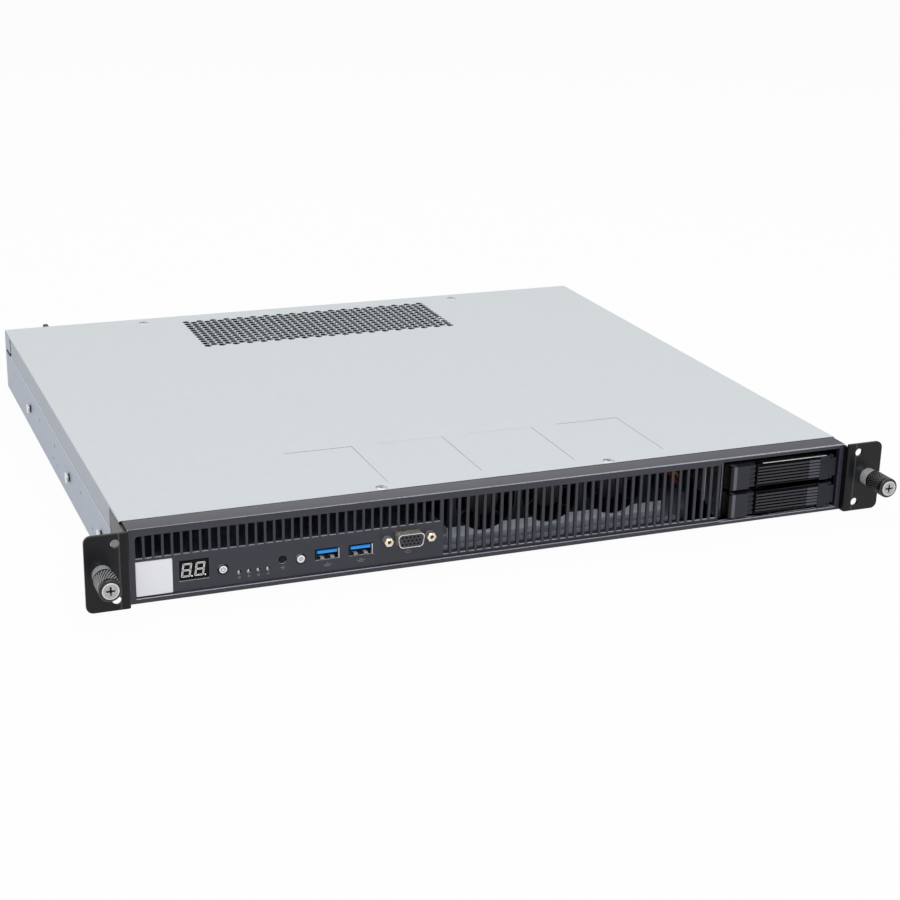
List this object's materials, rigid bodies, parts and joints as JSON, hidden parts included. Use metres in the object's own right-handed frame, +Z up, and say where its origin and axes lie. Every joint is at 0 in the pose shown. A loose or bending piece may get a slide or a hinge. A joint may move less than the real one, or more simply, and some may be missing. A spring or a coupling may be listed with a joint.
{
  "type": "1u rack server",
  "caption": "Flat rack-mount server with slotted front bezel, stacked drive trays, captive ear screws, lift-off vented cover and fans inside.",
  "frame": {"origin": "centre of the four-hole pattern in the rack ears, on the ears' rear face", "axes": "+X to the right along the front, +Y to the rear, +Z up"},
  "size_m": [0.4826, 0.4462, 0.043],
  "materials": {
    "galvanised": "satin galvanised sheet",
    "inner_steel": "bright galvanised sheet",
    "ear_paint": "satin black powder coat",
    "bezel_plastic": "fine matt texture",
    "tray_plastic": "fine matt texture",
    "plate_white": "smooth white film, bare",
    "display_window": "dark window with plain digits",
    "light_pipe": "clear moulded",
    "steel": "plated",
    "bright_plating": "nickel plated",
    "grip_black": "black oxide, knurled",
    "button_silver": "silver plated cap",
    "button_black": "matt",
    "socket_blue": "moulded",
    "socket_black": "moulded",
    "board_green": "solder mask",
    "fan_black": "moulded",
    "drive_metal": "cast and machined",
    "sink_metal": "extruded fins",
    "supply_metal": "satin sheet",
    "standoff_brass": "turned",
    "insulation_yellow": "wire insulation",
    "insulation_red": "wire insulation",
    "insulation_black": "wire insulation",
    "plug_white": "moulded"
  },
  "bodies": {
    "chassis": {"base_pan": "galvanised", "front_frame": "inner_steel", "front_bezel": "bezel_plastic", "rail_studs": "bright_plating", "ear_brackets": "ear_paint", "thumbscrew_sleeves": "bright_plating", "name_plate": "plate_white", "status_display": "display_window", "status_lights": "light_pipe", "control_board": "board_green", "usb_shells": "bright_plating", "usb_tongues": "socket_blue", "vga_shells": "bright_plating", "vga_inserts": "socket_black", "jack_screws": "bright_plating", "drive_cage": "inner_steel", "drive_backplane": "board_green", "fan_bracket": "inner_steel", "fan_frames": "fan_black", "mainboard": "board_green", "board_standoffs": "standoff_brass", "heat_sink": "sink_metal", "air_duct": "socket_black", "memory_sockets": "socket_black", "memory_modules": "board_green", "riser_card": "board_green", "slot_blank": "steel", "psu_case": "supply_metal", "psu_inlet": "socket_black", "psu_handle": "ear_paint", "lan_jacks": "steel", "lead_plugs": "plug_white", "yellow_lead": "insulation_yellow", "red_lead": "insulation_red", "black_lead": "insulation_black"},
    "cover": {"top_cover": "galvanised", "cover_screws": "bright_plating"},
    "left_thumbscrew_clip": {"left_retaining_ring": "steel"},
    "left_thumbscrew": {"left_screw": "steel", "left_collar": "grip_black"},
    "right_thumbscrew_clip": {"right_retaining_ring": "steel"},
    "right_thumbscrew": {"right_screw": "steel", "right_collar": "grip_black"},
    "power_button": {"power_button": "button_silver"},
    "reset_button": {"reset_button": "button_black"},
    "id_button": {"id_button": "button_silver"},
    "lower_tray": {"lower_tray": "tray_plastic", "lower_drive": "drive_metal", "lower_lever_pin": "steel"},
    "lower_lever": {"lower_lever": "tray_plastic"},
    "lower_latch": {"lower_latch": "tray_plastic"},
    "upper_tray": {"upper_tray": "tray_plastic", "upper_drive": "drive_metal", "upper_lever_pin": "steel"},
    "upper_lever": {"upper_lever": "tray_plastic"},
    "upper_latch": {"upper_latch": "tray_plastic"},
    "left_fan": {"left_fan_rotor": "fan_black"},
    "middle_fan": {"middle_fan_rotor": "fan_black"},
    "right_fan": {"right_fan_rotor": "fan_black"},
    "psu_fan": {"psu_fan_rotor": "fan_black"}
  },
  "joints": [
    {"name": "cover_lift", "type": "slide", "parent": "chassis", "child": "cover", "axis": [0, 0, 1], "range_m": [0, 0.06]},
    {"name": "left_screw_push", "type": "slide", "parent": "chassis", "child": "left_thumbscrew_clip", "axis": [0, 1, 0], "range_m": [0, 0.0062], "stiffness_N_per_m": 250},
    {"name": "left_screw_turn", "type": "hinge", "parent": "left_thumbscrew_clip", "child": "left_thumbscrew", "pos_m": [-0.23255, 0, 0], "axis": [0, 1, 0], "continuous": true},
    {"name": "right_screw_push", "type": "slide", "parent": "chassis", "child": "right_thumbscrew_clip", "axis": [0, 1, 0], "range_m": [0, 0.0062], "stiffness_N_per_m": 250},
    {"name": "right_screw_turn", "type": "hinge", "parent": "right_thumbscrew_clip", "child": "right_thumbscrew", "pos_m": [0.23255, 0, 0], "axis": [0, 1, 0], "continuous": true},
    {"name": "power_press", "type": "slide", "parent": "chassis", "child": "power_button", "axis": [0, 1, 0], "range_m": [0, 0.001], "stiffness_N_per_m": 300},
    {"name": "reset_press", "type": "slide", "parent": "chassis", "child": "reset_button", "axis": [0, 1, 0], "range_m": [0, 0.001], "stiffness_N_per_m": 300},
    {"name": "id_press", "type": "slide", "parent": "chassis", "child": "id_button", "axis": [0, 1, 0], "range_m": [0, 0.001], "stiffness_N_per_m": 300},
    {"name": "lower_tray_slide", "type": "slide", "parent": "chassis", "child": "lower_tray", "axis": [0, -1, 0], "range_m": [0, 0.12]},
    {"name": "lower_lever_swing", "type": "hinge", "parent": "lower_tray", "child": "lower_lever", "pos_m": [0.2105, 0.0052, -0.0109], "axis": [0, 0, 1], "range_deg": [0, 75]},
    {"name": "lower_latch_slide", "type": "slide", "parent": "lower_tray", "child": "lower_latch", "axis": [-1, 0, 0], "range_m": [0, 0.003], "stiffness_N_per_m": 300},
    {"name": "upper_tray_slide", "type": "slide", "parent": "chassis", "child": "upper_tray", "axis": [0, -1, 0], "range_m": [0, 0.12]},
    {"name": "upper_lever_swing", "type": "hinge", "parent": "upper_tray", "child": "upper_lever", "pos_m": [0.2105, 0.0052, 0.0066], "axis": [0, 0, 1], "range_deg": [0, 75]},
    {"name": "upper_latch_slide", "type": "slide", "parent": "upper_tray", "child": "upper_latch", "axis": [-1, 0, 0], "range_m": [0, 0.003], "stiffness_N_per_m": 300},
    {"name": "left_fan_spin", "type": "hinge", "parent": "chassis", "child": "left_fan", "pos_m": [-0.003, 0.05, -0.0005], "axis": [0, 1, 0], "continuous": true},
    {"name": "middle_fan_spin", "type": "hinge", "parent": "chassis", "child": "middle_fan", "pos_m": [0.0386, 0.05, -0.0005], "axis": [0, 1, 0], "continuous": true},
    {"name": "right_fan_spin", "type": "hinge", "parent": "chassis", "child": "right_fan", "pos_m": [0.0802, 0.05, -0.0005], "axis": [0, 1, 0], "continuous": true},
    {"name": "psu_fan_spin", "type": "hinge", "parent": "chassis", "child": "psu_fan", "pos_m": [-0.157, 0.39, -0.00115], "axis": [0, 1, 0], "continuous": true}
  ]
}
